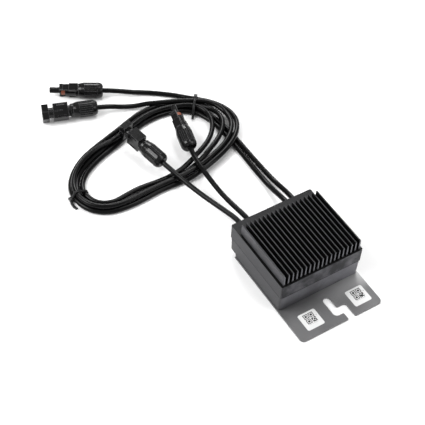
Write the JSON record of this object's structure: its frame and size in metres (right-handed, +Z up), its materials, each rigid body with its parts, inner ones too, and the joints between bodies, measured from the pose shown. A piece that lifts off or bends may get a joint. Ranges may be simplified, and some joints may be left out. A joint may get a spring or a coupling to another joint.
{
  "type": "solar power optimizer",
  "caption": "Finned power optimizer box on a slotted bracket sheet, with two short input cables and two long output cables wound in a tied coil, all with cable connectors.",
  "frame": {"origin": "on the ground, at the middle of the box that bounds the bracket, case, heat sink and glands", "axes": "+X across the box to its right as seen from the bracket's free edge, +Y from that edge to the cables, +Z up"},
  "size_m": [0.2715, 0.5297, 0.0667],
  "materials": {
    "case_plastic": "satin black moulding with a fine grain",
    "heat_sink_coat": "satin black coat on a cast metal",
    "bracket_steel": "plain grey sheet",
    "screw_steel": "zinc-plated",
    "label_film": "white film",
    "cable_jacket": "satin black",
    "gland_rubber": "matte black",
    "connector_plastic": "semi-gloss black moulding",
    "front_seal_rubber": "copper-brown ring",
    "contact_metal": "tinned",
    "board_laminate": "green solder mask",
    "ferrite": "dark sintered",
    "winding_wire": "enamelled copper",
    "capacitor_can": "dark sleeve",
    "chip_epoxy": "matte black",
    "silicone_pad": "grey, soft",
    "tie_nylon": "black nylon"
  },
  "bodies": {
    "root": {"lower_case": "case_plastic", "heat_sink": "heat_sink_coat", "case_seal": "gland_rubber", "mounting_bracket": "bracket_steel", "bracket_screws": "screw_steel", "cover_screws": "screw_steel", "label_left": "label_film", "label_right": "label_film", "circuit_board": "board_laminate", "board_screws": "screw_steel", "inductor_core": "ferrite", "inductor_winding": "winding_wire", "input_capacitor_1": "capacitor_can", "input_capacitor_2": "capacitor_can", "output_capacitor_1": "capacitor_can", "output_capacitor_2": "capacitor_can", "power_transistor_1": "chip_epoxy", "power_transistor_2": "chip_epoxy", "power_transistor_3": "chip_epoxy", "power_transistor_4": "chip_epoxy", "thermal_pad": "silicone_pad", "controller_chip": "chip_epoxy", "signal_transformer": "ferrite", "cable_jackets": "cable_jacket", "wire_lugs": "contact_metal", "cable_gland_1": "gland_rubber", "cable_gland_2": "gland_rubber", "cable_gland_3": "gland_rubber", "cable_gland_4": "gland_rubber", "output_plug_housing": "connector_plastic", "output_plug_nut": "connector_plastic", "output_plug_gland": "gland_rubber", "output_plug_contact": "contact_metal", "output_plug_seal": "front_seal_rubber", "output_socket_housing": "connector_plastic", "output_socket_nut": "connector_plastic", "output_socket_gland": "gland_rubber", "output_socket_contact": "contact_metal", "input_socket_housing": "connector_plastic", "input_socket_nut": "connector_plastic", "input_socket_gland": "gland_rubber", "input_socket_contact": "contact_metal", "input_plug_housing": "connector_plastic", "input_plug_nut": "connector_plastic", "input_plug_gland": "gland_rubber", "input_plug_contact": "contact_metal", "input_plug_seal": "front_seal_rubber", "input_cable_1": "cable_jacket", "input_cable_2": "cable_jacket", "output_lead_1": "cable_jacket", "output_lead_2": "cable_jacket", "output_tail_1": "cable_jacket", "output_tail_2": "cable_jacket", "cable_coil": "cable_jacket", "cable_tie_left": "tie_nylon", "cable_tie_right": "tie_nylon"}
  },
  "joints": []
}
